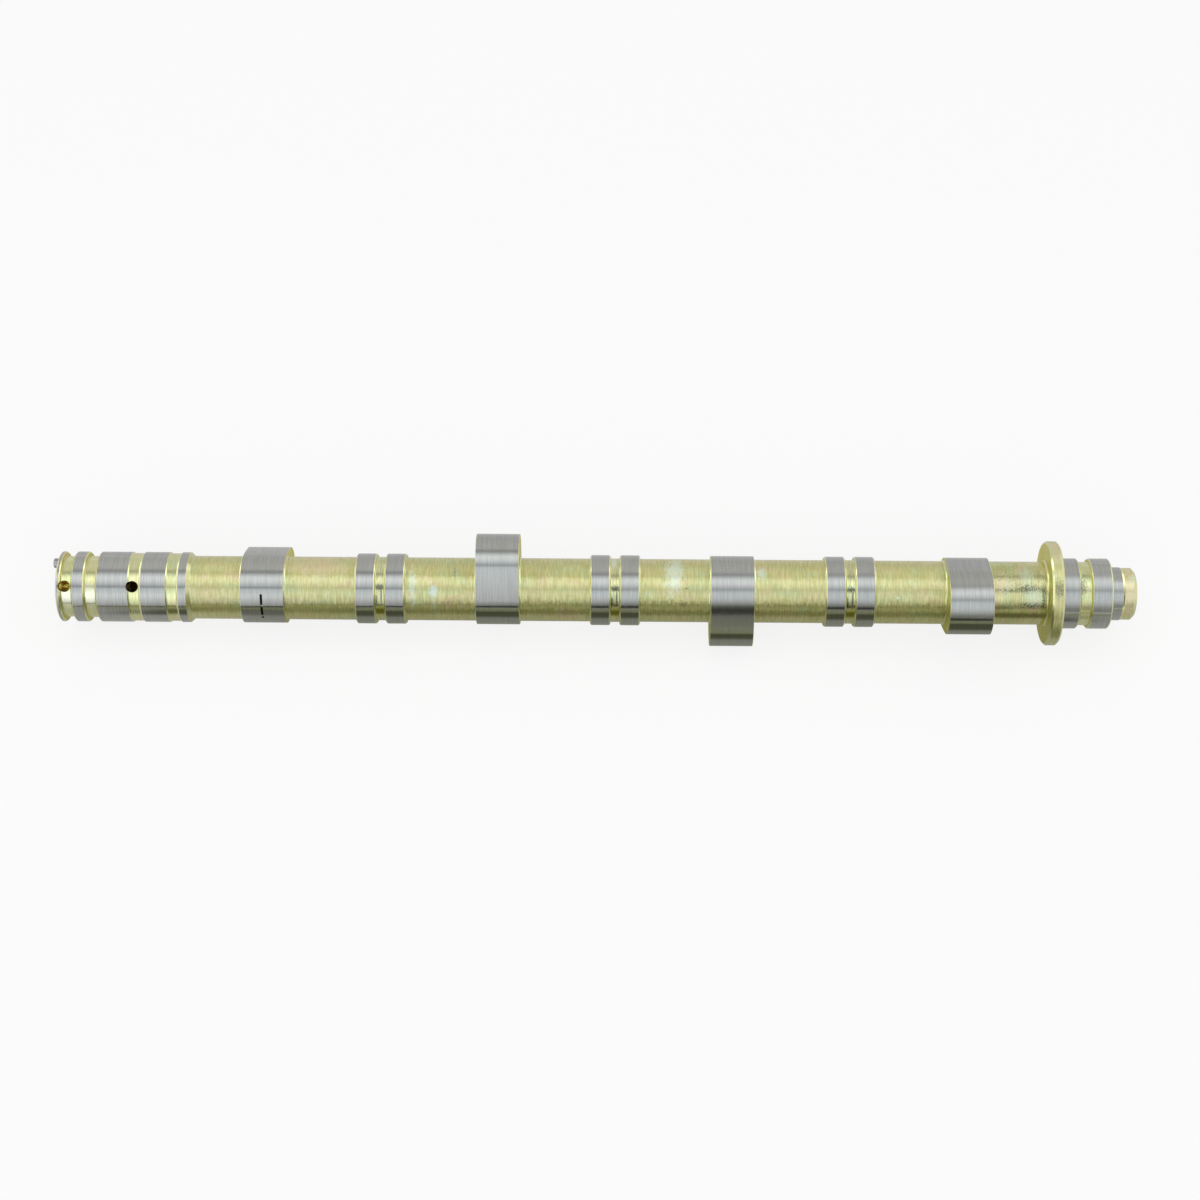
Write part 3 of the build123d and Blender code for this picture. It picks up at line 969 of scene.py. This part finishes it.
def grooveMiddle(steps, number):
    end = 2 * number - 1
    return (steps[end - 1][0] + steps[end][0]) / 2


def crossTools(steps):
    high = turned["journalRadius"]
    faceHole = grooveMiddle(steps, 1) - drilling["crossOffset"]
    advanceHole = grooveMiddle(steps, 3) - drilling["crossOffset"]
    faceFloor = high - turned["landGrooves"][0][1]
    advanceFloor = high - turned["landGrooves"][2][1]
    angle, radius = drilling["crossAngle"], drilling["crossRadius"]
    tools = [
        crossDrill(faceHole, angle, radius, faceFloor - drilling["faceHoleDepth"], finish="drilled"),
        crossDrill(advanceHole, angle, radius, turned["galleryRadius"], advanceFloor),
    ]
    last = turned["bearings"]
    flangeRear = bearingAt(last) - turned["flangeToBearing"]
    rearGroove = flangeRear + turned["rearRing"] + turned["rearGroove"][0] / 2
    oilPlaces = [grooveMiddle(steps, 2), rearGroove] + [bearingAt(number) for number in range(2, last)]
    for x in oilPlaces:
        tools.append(crossDrill(x, drilling["oilAngle"], drilling["oilRadius"], turned["galleryRadius"] / 2))
    return tools


def endTools(steps):
    passageDepth = grooveMiddle(steps, 1) - drilling["crossOffset"] + drilling["crossRadius"]
    return [
        endDrill(drilling["crossAngle"], drilling["passagePitch"], drilling["passageRadius"], passageDepth),
        endDrill(dowel["angle"], dowel["pitchRadius"], dowel["radius"], dowel["seat"]),
    ]


def joinParts(name, parts):
    # several bmeshes become one object
    joined = bmesh.new()
    for part in parts:
        mesh = bpy.data.meshes.new(name)
        part.to_mesh(mesh)
        part.free()
        joined.from_mesh(mesh)
        bpy.data.meshes.remove(mesh)
    mesh = bpy.data.meshes.new(name)
    joined.to_mesh(mesh)
    joined.free()
    made = bpy.data.objects.new(name, mesh)
    bpy.context.scene.collection.objects.link(made)
    return made


def dropObject(item):
    mesh = item.data
    bpy.data.objects.remove(item)
    bpy.data.meshes.remove(mesh)


def withModifiers(item):
    depsgraph = bpy.context.evaluated_depsgraph_get()
    mesh = bpy.data.meshes.new_from_object(item.evaluated_get(depsgraph))
    mesh.name = item.name
    old = item.data
    item.modifiers.clear()
    item.data = mesh
    bpy.data.meshes.remove(old)


def addFinishes(item, finishes):
    for finish in finishes:
        item.data.materials.append(finish)


def smoothBroadFaces(item, angle=32):
    bm = bmesh.new()
    bm.from_mesh(item.data)
    for face in bm.faces:
        face.smooth = True
    for edge in bm.edges:
        edge.smooth = edge.calc_face_angle(0.0) < math.radians(angle)
    bm.to_mesh(item.data)
    bm.free()
    weighted = item.modifiers.new("broadFaces", "WEIGHTED_NORMAL")
    weighted.keep_sharp = True
    withModifiers(item)


unrolledLength = 0.1  # metres along the shaft for one step of v


def unrollUv(item):
    # u runs round the shaft and v along the tool's path, only to steer the brushed look
    mesh = item.data
    layer = mesh.uv_layers.new(name="turned")
    for face in mesh.polygons:
        middle = math.atan2(face.center.z, face.center.y)
        shoulder = abs(face.normal.x) > shoulderFacing
        for index in face.loop_indices:
            co = mesh.vertices[mesh.loops[index].vertex_index].co
            angle = math.atan2(co.z, co.y)
            if angle - middle > math.pi:
                angle -= math.tau
            elif middle - angle > math.pi:
                angle += math.tau
            along = co.x + (math.hypot(co.y, co.z) if shoulder else 0.0)
            layer.data[index].uv = (angle / math.tau, along / unrolledLength)


def threadRidge():
    # one ridge winding inwards along the threaded part of the bore, its ends sunk in the wall
    threadLength, threadRadius = turned["thread"]
    pitch, ridgeDepth, sunk = turned["threadPitch"], turned["threadDepth"], turned["threadSunk"]
    start = turned["boltBore"][0] + pitch
    turns = int((threadLength - 2 * pitch) / pitch)
    bm = bmesh.new()
    half = pitch * turned["ridgeFoot"]
    tip = pitch * turned["ridgeTip"]
    corners = [(start - half, threadRadius + sunk), (start - tip, threadRadius - ridgeDepth),
               (start + tip, threadRadius - ridgeDepth), (start + half, threadRadius + sunk)]
    chain = [bm.verts.new((x, 0.0, radius)) for x, radius in corners]
    section = bm.faces.new(chain)
    steps = turned["threadSteps"]
    bmesh.ops.spin(bm, geom=[section], cent=(0, 0, 0), axis=shaftAxis, angle=turns * math.tau,
                   dvec=shaftAxis * (pitch / steps), steps=turns * steps)
    bmesh.ops.recalc_face_normals(bm, faces=bm.faces)
    for face in bm.faces:
        face.material_index = finishNumber("bright")
    return bm


def addThread(shaft):
    bm = threadRidge()
    bm.from_mesh(shaft.data)
    bm.to_mesh(shaft.data)
    bm.free()


def makeShaft(finishes):
    steps = allSteps()
    end = steps[-1][0]
    corners = boreCorners(end) + outerCorners(steps) + centreDrillCorners(end)
    body = spinCorners(corners, turned["aroundSteps"], turned["softEdge"])
    paintTurned(body, steps)
    shaft = joinParts("camshaftBody", [body])
    print("turned body:", len(shaft.data.polygons), "faces")
    lobes = joinParts("lobes", [lobeBody(number) for number in range(1, turned["bearings"])])
    cross = joinParts("crossTools", crossTools(steps))
    ends = joinParts("endTools", endTools(steps))
    for item in (shaft, lobes, cross, ends):
        addFinishes(item, finishes)
    for tool, operation in ((lobes, "UNION"), (cross, "DIFFERENCE"), (ends, "DIFFERENCE")):
        fit = shaft.modifiers.new(tool.name, "BOOLEAN")
        fit.object = tool
        fit.operation = operation
        fit.solver = "EXACT"
    withModifiers(shaft)
    for tool in (lobes, cross, ends):
        dropObject(tool)
    addThread(shaft)
    smoothBroadFaces(shaft)
    unrollUv(shaft)
    print("camshaft body:", len(shaft.data.polygons), "faces")
    return shaft


def makeDowel(finish):
    length = dowel["seat"] + dowel["proud"]
    corners = [(0.0, 0.0), (dowel["radius"], 0.0), (dowel["radius"], length), (0.0, length)]
    bm = spunTool(corners, dowel["steps"], "bright")
    rims = [e for e in bm.edges if e.calc_face_angle(0.0) > math.radians(dowel["rimAngle"])]
    bevelEdges(bm, rims, dowel["edge"], bevelSteps["pin"])
    placeTool(bm, outward(dowel["angle"]) * dowel["pitchRadius"] - shaftAxis * dowel["proud"], shaftAxis)
    for face in bm.faces:
        face.material_index = 0
    pin = joinParts("dowelPin", [bm])
    addFinishes(pin, [finish])
    smoothBroadFaces(pin)
    return pin


pinLook = {
    "lineColour": (0.36, 0.36, 0.37, 1),
    "colour": (0.46, 0.46, 0.47, 1),
    "lineWidth": 0.3 * mm,
    "lineRange": (0.3, 0.7),
    "around": 2.0,
    "wave": 0.05,
    "seed": 9.0,
    "roughness": 0.26,
}


def pinFinish(look):
    finish, tree, sockets = newFinish("pinSteel")
    marks = placeLines(tree, look, look["wave"])
    lines = fade(tree, marks["Lines"], *look["lineRange"])
    feed(tree, sockets["Base Color"], mixColour(tree, lines, look["lineColour"], look["colour"]))
    sockets["Roughness"].default_value = look["roughness"]
    return finish


finishes = {"ground": groundSteel(groundLook)}
finishes |= {kind: platingFinish(**values) for kind, values in platings.items()}
finishes |= {kind: drilledFinish(**values) for kind, values in drillings.items()}
shaftBody = makeShaft([finishes[kind] for kind in finishSlots])
dowelPin = makeDowel(pinFinish(pinLook))
for piece, node, slot in ((shaftBody, "camshaft", "plated_steel"), (dowelPin, "dowel_pin", "pin_steel")):
    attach(piece, "root")
    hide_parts(node)
print("pieces in place")


cameraLook = {
    "distance": 0.93,
    "elevation": 64.0,
    "yaw": 0.555,  # the rear end is a little nearer
    "roll": 0.41,
    "lensPixels": 2301.6,
    "framePixels": 1200,
    "sensorWidth": 36.0,  # millimetres
    "aimX": 217.4 * mm,
    "axisAboveCentre": 9.94,  # pixels
}


def towards(tilt):
    # a direction square to the shaft, tilted from the camera's own, positive towards the top of the frame
    angle = math.radians(cameraLook["elevation"] + tilt)
    return Vector((0, -math.cos(angle), math.sin(angle)))


def makeCamera(look):
    yaw, roll = math.radians(look["yaw"]), math.radians(look["roll"])
    pitch = math.atan(look["axisAboveCentre"] / look["lensPixels"])
    facing, up = towards(0), towards(90)
    back = shaftAxis * math.sin(yaw) + facing * math.cos(yaw)
    right = shaftAxis * math.cos(yaw) - facing * math.sin(yaw)
    rolledRight = right * math.cos(roll) + up * math.sin(roll)
    rolledUp = up * math.cos(roll) - right * math.sin(roll)
    place = shaftAxis * look["aimX"] + back * look["distance"]
    finalBack = back * math.cos(pitch) + rolledUp * math.sin(pitch)
    finalUp = rolledUp * math.cos(pitch) - back * math.sin(pitch)
    data = bpy.data.cameras.new("camera")
    data.sensor_width = look["sensorWidth"]
    data.lens = look["lensPixels"] / look["framePixels"] * data.sensor_width
    camera = bpy.data.objects.new("camera", data)
    turn = Matrix((rolledRight, finalUp, finalBack)).transposed().to_4x4()
    camera.matrix_world = Matrix.Translation(place) @ turn
    bpy.context.scene.collection.objects.link(camera)
    bpy.context.scene.camera = camera


studio = {
    "floorHalfSize": 4.0,
    "floorSegments": 4,
    "floorColour": (0.92, 0.92, 0.92, 1),
    "floorRoughness": 0.9,
    "floorWhite": 0.81,  # share of plain white that the camera and reflections see in the floor
    "floorSlope": 0.232,  # degrees, so that lobe and flange both touch it
    "floorAtFlange": -21.0 * mm,
    "flangeFoot": 397.1 * mm,
    "worldColour": (0.61, 0.615, 0.61, 1),
    # soft boxes: (name, middle tilt, width in degrees, level)
    "boxes": [("overheadBox", 27.0, 38.0, 0.52), ("frontBox", -27.0, 46.0, 0.52)],
    "boxLength": 3.4,
    "boxDistance": 1.25,
}

# The tent is what the metal reflects: soft boxes with seams between them. Each stop is a tilt from
# the camera's direction in degrees, a level and a tint.
tent = {
    "radius": 1.1,
    "length": 3.4,
    "endRadius": 0.85,
    "endLevel": (1.25, 1.25, 1.2, 1),
    "steps": 92,
    "from": -66.0,
    "to": 118.0,
    "endSegments": 48,
    "tints": {
        "warm": (1.0, 1.0, 0.93), "plain": (0.97, 1.0, 0.98),
        "cool": (0.94, 1.0, 1.01), "olive": (0.97, 1.0, 0.66),
    },
    "above": [
        (118, 0.62, "warm"), (76, 0.66, "warm"), (64, 0.66, "warm"), (57, 0.46, "warm"),
        (53, 0.34, "plain"), (49, 0.46, "plain"), (42, 0.85, "plain"), (34, 1.22, "plain"),
        (27, 1.28, "plain"), (19, 1.20, "plain"), (11, 0.98, "plain"),
        (3.5, 0.76, "cool"), (1.5, 0.45, "cool"), (-1.5, 0.45, "cool"), (-4.5, 0.82, "cool"),
        (-9, 0.98, "cool"),
    ],
    "sides": [
        (-16, 1.08, "cool"), (-24, 1.26, "plain"), (-32, 1.32, "plain"), (-40, 1.18, "plain"),
        (-48, 1.06, "plain"), (-55, 0.88, "plain"), (-60, 0.74, "plain"),
        (-64, 0.56, "warm"), (-66, 0.50, "warm"),
    ],
    "middle": [
        (-16, 0.96, "cool"), (-24, 0.84, "cool"), (-30, 0.66, "plain"), (-36, 0.52, "plain"),
        (-42, 0.33, "plain"), (-48, 0.15, "olive"), (-53, 0.11, "olive"), (-59, 0.15, "olive"),
        (-63, 0.22, "olive"), (-66, 0.26, "olive"),
    ],
    "middleX": 380 * mm,
    "middleReach": (130 * mm, 560 * mm),
    # far along, where only the rougher plating looks
    "wings": [
        (118, 2.1, "warm"), (57, 2.0, "warm"), (42, 1.3, "plain"), (27, 0.66, "plain"), (8, 0.40, "plain"),
        (-6, 0.32, "plain"), (-20, 0.20, "warm"), (-34, 0.16, "olive"), (-48, 0.16, "olive"),
        (-66, 0.2, "olive"),
    ],
    "wingsX": 140 * mm,
    "wingsReach": (790 * mm, 1010 * mm),
    # the boxes lean away towards the rear end, the upper edge only far along
    "leanFrom": 100 * mm,
    "lean": 20.0,  # degrees a metre
    "leanTilts": (-20.0, -2.0),
    "farLeanFrom": 230 * mm,
    "farLean": 70.0,  # degrees a metre squared
    "farLeanTilts": (8.0, 36.0),
    "farDim": 0.92,
    "farDimReach": (200 * mm, 450 * mm),
    "farDimTilts": (50.0, 66.0),
}

# A thin dark rail close in front of the shaft; its places are (x, height, half width) in mm.
rail = {
    "inFront": 46 * mm,
    "places": [(-10, 4.0, 1.3), (60, 5.2, 1.5), (130, 8.9, 2.0), (223, 12.3, 2.8), (386, 13.0, 2.8)],
    "level": (0.02, 0.02, 0.012, 1),
}

# What the metal reflects of the table: a dark strip in front, a painted shadow of the shaft, paler at the
# ends where that shadow runs out. The pairs say where one tone turns into the next; the pale spot has two
# of them and how far it hides the strip.
table = {
    "halfSize": 0.9,
    "fromFlange": -180 * mm,
    "lift": 0.3 * mm,
    "near": (0.315, 0.32, 0.262, 1),
    "nearEnds": (0.48, 0.48, 0.44, 1),
    "dark": (0.10, 0.105, 0.06, 1),
    "far": (0.29, 0.30, 0.17, 1),
    "behind": (0.62, 0.62, 0.60, 1),
    "aside": (0.78, 0.78, 0.75, 1),
    "paleSpot": ((50 * mm, 62 * mm), (86 * mm, 104 * mm), 0.4),
    "darkFrom": (31 * mm, 48 * mm),
    "darkTo": (104 * mm, 122 * mm),
    "darkLeft": (0 * mm, 36 * mm),
    "darkRight": (408 * mm, 430 * mm),
    "nearLeft": (15 * mm, 115 * mm),
    "nearRight": (370 * mm, 440 * mm),
    "behindFrom": (0 * mm, 20 * mm),
    "asideLeft": (-60 * mm, 0 * mm),
    "asideRight": (440 * mm, 520 * mm),
}


def crossPlane(tilt, distance):
    # stands square to a line from the shaft, its X along the shaft
    z = towards(tilt)
    place = shaftAxis * cameraLook["aimX"] + z * distance
    turn = Matrix((shaftAxis, z.cross(shaftAxis), z)).transposed().to_4x4()
    return Matrix.Translation(place) @ turn


def makeBoxes(look):
    # these light the floor and the plain surfaces; the metal reflects the tent instead
    for name, tilt, spread, level in look["boxes"]:
        width = 2 * look["boxDistance"] * math.tan(math.radians(spread / 2))
        data = bpy.data.lights.new(name, "AREA")
        data.shape = "RECTANGLE"
        data.size, data.size_y = look["boxLength"], width
        data.energy = level * math.pi * look["boxLength"] * width
        box = bpy.data.objects.new(name, data)
        box.matrix_world = crossPlane(tilt, look["boxDistance"])
        box.visible_camera = box.visible_glossy = False
        bpy.context.scene.collection.objects.link(box)


def reflectedOnly(name, bm, paint):
    # something that only the metal's reflections see
    mesh = bpy.data.meshes.new(name)
    bm.to_mesh(mesh)
    bm.free()
    card = bpy.data.objects.new(name, mesh)
    bpy.context.scene.collection.objects.link(card)
    card.visible_camera = card.visible_diffuse = card.visible_shadow = False
    card.visible_transmission = card.visible_volume_scatter = False
    finish, tree, sockets = newMaterial(name, "ShaderNodeEmission")
    feed(tree, sockets["Color"], paint(tree))
    mesh.materials.append(finish)


def levelRamp(tree, tilt, stops, look):
    # a colour ramp whose stops are given by tilt
    low, high = look["from"], look["to"]
    placed = [
        ((stopTilt - low) / (high - low), [level * part for part in look["tints"][tint]] + [1.0])
        for stopTilt, level, tint in sorted(stops)
    ]
    return colourRamp(tree, fade(tree, tilt, low, high, smooth=False), placed)


def tentPaint(tree):
    look = tent
    x, y, z = separate(tree, addNode(tree, "ShaderNodeTexCoord").outputs["Object"])
    turn = calc(tree, "DEGREES", calc(tree, "ARCTAN2", z, calc(tree, "MULTIPLY", y, -1.0)))
    tilt = calc(tree, "SUBTRACT", turn, cameraLook["elevation"])
    near = calc(tree, "MAXIMUM", calc(tree, "SUBTRACT", x, look["leanFrom"]), 0.0)
    lean = calc(tree, "MULTIPLY", near, look["lean"])
    far = calc(tree, "MAXIMUM", calc(tree, "SUBTRACT", x, look["farLeanFrom"]), 0.0)
    farLean = calc(tree, "MULTIPLY", calc(tree, "MULTIPLY", far, far), look["farLean"])
    lean = mixValue(tree, fade(tree, tilt, *look["farLeanTilts"]), lean, farLean)
    lean = calc(tree, "MULTIPLY", lean, fade(tree, tilt, *look["leanTilts"]))
    leaning = calc(tree, "SUBTRACT", tilt, lean)
    fromMiddle = calc(tree, "ABSOLUTE", calc(tree, "SUBTRACT", x, look["middleX"]))
    middle = fade(tree, fromMiddle, look["middleReach"][1], look["middleReach"][0])
    sides = levelRamp(tree, leaning, look["above"] + look["sides"], look)
    centre = levelRamp(tree, leaning, look["above"] + look["middle"], look)
    colour = mixColour(tree, middle, sides, centre)
    fromWings = calc(tree, "ABSOLUTE", calc(tree, "SUBTRACT", x, look["wingsX"]))
    wings = levelRamp(tree, tilt, look["wings"], look)
    colour = mixColour(tree, fade(tree, fromWings, *look["wingsReach"]), colour, wings)
    dim = calc(tree, "MULTIPLY", fade(tree, x, *look["farDimReach"]), fade(tree, tilt, *look["farDimTilts"]))
    dim = mixValue(tree, dim, 1.0, look["farDim"])
    return mixColour(tree, 1.0, colour, combine(tree, dim, dim, dim), blend="MULTIPLY")


def tablePaint(tree):
    look = table
    x, y, z = separate(tree, addNode(tree, "ShaderNodeTexCoord").outputs["Object"])
    front = calc(tree, "MULTIPLY", y, -1.0)

    def between(value, start, end):
        return calc(tree, "MULTIPLY", fade(tree, value, *start), fade(tree, value, end[1], end[0]))

    colour = mixColour(tree, between(x, look["nearLeft"], look["nearRight"]), look["nearEnds"], look["near"])
    colour = mixColour(tree, fade(tree, front, *look["darkTo"]), colour, look["far"])
    # the dark strip: painted shadow of the shaft on the table
    strip = calc(tree, "MULTIPLY", between(front, look["darkFrom"], look["darkTo"]),
                 between(x, look["darkLeft"], look["darkRight"]))
    spotStart, spotEnd, spotShare = look["paleSpot"]
    spot = mixValue(tree, between(x, spotStart, spotEnd), 1.0, 1.0 - spotShare)
    strip = calc(tree, "MULTIPLY", strip, spot)
    colour = mixColour(tree, strip, colour, look["dark"])
    colour = mixColour(tree, fade(tree, y, *look["behindFrom"]), colour, look["behind"])
    inside = between(x, look["asideLeft"], look["asideRight"])
    return mixColour(tree, inside, look["aside"], colour)


def tentEnd(look, side):
    return shaftAxis * (cameraLook["aimX"] + side * look["length"] / 2)


def makeTent(look):
    bm = bmesh.new()
    start = towards(look["from"]) * look["radius"]
    ends = [bm.verts.new(start + tentEnd(look, side)) for side in (-1, 1)]
    edge = bm.edges.new(ends)
    sweep = math.radians(look["from"] - look["to"])
    bmesh.ops.spin(bm, geom=ends + [edge], cent=(0, 0, 0), axis=shaftAxis, angle=sweep, steps=look["steps"])
    reflectedOnly("tent", bm, tentPaint)


def makeEnds(look):
    # a pale card beyond each end, which lights the edges of the rings
    for side in (-1, 1):
        bm = bmesh.new()
        bmesh.ops.create_circle(bm, cap_ends=True, radius=look["endRadius"], segments=look["endSegments"])
        turn = Matrix.Rotation(math.radians(90 * side), 4, "Y")
        bmesh.ops.transform(bm, verts=bm.verts, matrix=Matrix.Translation(tentEnd(look, side)) @ turn)
        reflectedOnly("endCard" + ("Left" if side < 0 else "Right"), bm, lambda tree: look["endLevel"])


def makeRail(look):
    bm = bmesh.new()
    above, below = [], []
    for x, height, half in look["places"]:
        for row, side in ((above, 1), (below, -1)):
            row.append(bm.verts.new((x * mm, -look["inFront"], (height + side * half) * mm)))
    edges = [bm.edges.new(pair) for row in (above, below) for pair in zip(row, row[1:])]
    bmesh.ops.bridge_loops(bm, edges=edges)
    reflectedOnly("rail", bm, lambda tree: look["level"])


def makeTable(look):
    bm = bmesh.new()
    bmesh.ops.create_grid(bm, x_segments=2, y_segments=2, size=look["halfSize"])
    shift = Matrix.Translation((look["fromFlange"], 0, look["lift"]))
    bmesh.ops.transform(bm, verts=bm.verts, matrix=floorPlace(studio) @ shift)
    reflectedOnly("table", bm, tablePaint)


def floorPlace(look):
    turn = Matrix.Rotation(math.radians(look["floorSlope"]), 4, "Y")
    return Matrix.Translation((look["flangeFoot"], 0, look["floorAtFlange"])) @ turn


def makeFloor(look):
    bm = bmesh.new()
    segments = look["floorSegments"]
    bmesh.ops.create_grid(bm, x_segments=segments, y_segments=segments, size=look["floorHalfSize"])
    mesh = bpy.data.meshes.new("floor")
    bm.to_mesh(mesh)
    bm.free()
    floor = bpy.data.objects.new("floor", mesh)
    floor.matrix_world = floorPlace(look)
    bpy.context.scene.collection.objects.link(floor)
    finish, tree, sockets = newFinish("paleFloor", metal=0.0)
    sockets["Base Color"].default_value = look["floorColour"]
    sockets["Roughness"].default_value = look["floorRoughness"]
    sockets["Specular IOR Level"].default_value = 0.0
    ray = addNode(tree, "ShaderNodeLightPath").outputs
    seen = calc(tree, "MAXIMUM", ray["Is Camera Ray"], ray["Is Glossy Ray"])
    seen = calc(tree, "MAXIMUM", seen, ray["Is Transmission Ray"])
    white = addNode(tree, "ShaderNodeEmission").outputs[0]
    surface = next(node for node in tree.nodes if node.type == "OUTPUT_MATERIAL").inputs["Surface"]
    lit = surface.links[0].from_socket
    blend = addNode(tree, "ShaderNodeMixShader")
    for socket, value in zip(blend.inputs, (calc(tree, "MULTIPLY", seen, look["floorWhite"]), lit, white)):
        feed(tree, socket, value)
    feed(tree, surface, blend.outputs[0])
    mesh.materials.append(finish)


def makeWorld(look):
    world = bpy.data.worlds.new("studio")
    world.use_nodes = True
    bpy.context.scene.world = world
    background = world.node_tree.nodes["Background"]
    background.inputs["Color"].default_value = look["worldColour"]
    background.inputs["Strength"].default_value = 1.0


makeCamera(cameraLook)
makeBoxes(studio)
makeTent(tent)
makeEnds(tent)
makeRail(rail)
makeTable(table)
makeFloor(studio)
makeWorld(studio)
bpy.context.scene.view_settings.view_transform = "Standard"
print("studio ready")
